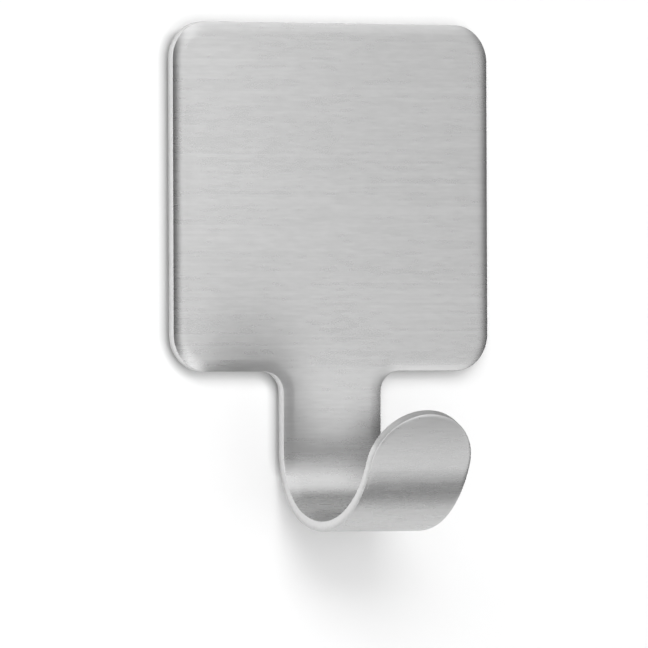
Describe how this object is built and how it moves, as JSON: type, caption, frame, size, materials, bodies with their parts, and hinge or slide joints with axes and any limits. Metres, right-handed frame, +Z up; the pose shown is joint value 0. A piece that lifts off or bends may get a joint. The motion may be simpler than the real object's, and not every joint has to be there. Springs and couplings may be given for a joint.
{
  "type": "adhesive wall hook",
  "caption": "Self-adhesive wall hook: a rounded, nearly square brushed steel plate whose narrower tongue bends forward into a J with a round-ended lip, on foam tape.",
  "frame": {"origin": "centre of the tape's wall face, behind the plate's centre", "axes": "+Y into the wall, +Z up the wall, +X to the right for someone who faces the hook"},
  "size_m": [0.045, 0.0286, 0.0641],
  "materials": {
    "brushed_steel": "stainless steel, brushed straight across from side to side, with rounded and deburred edges",
    "foam": "white closed-cell foam, cut square, with fine cells along its edges",
    "adhesive": "tacky acrylic coat, slightly glossy, a little uneven"
  },
  "bodies": {
    "root": {"hook_plate": "brushed_steel", "front_adhesive": "adhesive", "foam_core": "foam", "rear_adhesive": "adhesive"}
  },
  "joints": []
}
